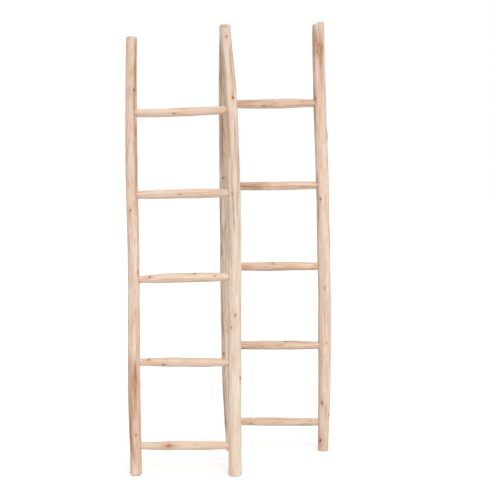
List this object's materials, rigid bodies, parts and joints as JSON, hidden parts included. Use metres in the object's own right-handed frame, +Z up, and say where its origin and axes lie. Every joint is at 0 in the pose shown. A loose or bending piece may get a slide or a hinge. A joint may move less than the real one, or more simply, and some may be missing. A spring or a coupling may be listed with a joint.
{
  "type": "folding double ladder rack",
  "caption": "Two rustic branch-wood ladders side by side, hinged together at the top of their neighbouring stiles, standing free or folding flat, for hanging quilts, blankets and towels.",
  "frame": {"origin": "on the floor, in the middle of the footprint of the open rack", "axes": "+Z up, -Y the front, towards the viewer, +X to the viewer's right"},
  "size_m": [0.9385, 0.4388, 1.986],
  "materials": {
    "stile_wood": "peeled and sanded, unvarnished",
    "rung_wood": "whittled and sanded, unvarnished",
    "hinge_steel": "dull zinc-plated steel",
    "nail_steel": "bare steel nail heads"
  },
  "bodies": {
    "rear_ladder": {"rear_stile_left": "stile_wood", "rear_stile_right": "stile_wood", "rear_rung_1": "rung_wood", "rear_rung_2": "rung_wood", "rear_rung_3": "rung_wood", "rear_rung_4": "rung_wood", "rear_rung_5": "rung_wood", "rear_tenon_nails": "nail_steel", "hinge_leaf_rear": "hinge_steel", "hinge_pin": "hinge_steel", "hinge_screws_rear": "hinge_steel"},
    "front_ladder": {"front_stile_left": "stile_wood", "front_stile_right": "stile_wood", "front_rung_1": "rung_wood", "front_rung_2": "rung_wood", "front_rung_3": "rung_wood", "front_rung_4": "rung_wood", "front_rung_5": "rung_wood", "front_tenon_nails": "nail_steel", "hinge_leaf_front": "hinge_steel", "hinge_screws_front": "hinge_steel"}
  },
  "joints": [
    {"name": "ladder_fold", "type": "hinge", "parent": "rear_ladder", "child": "front_ladder", "pos_m": [-0.017, 0.1612, 1.926], "axis": [-1, 0, 0], "range_deg": [-9.7, 20]}
  ]
}
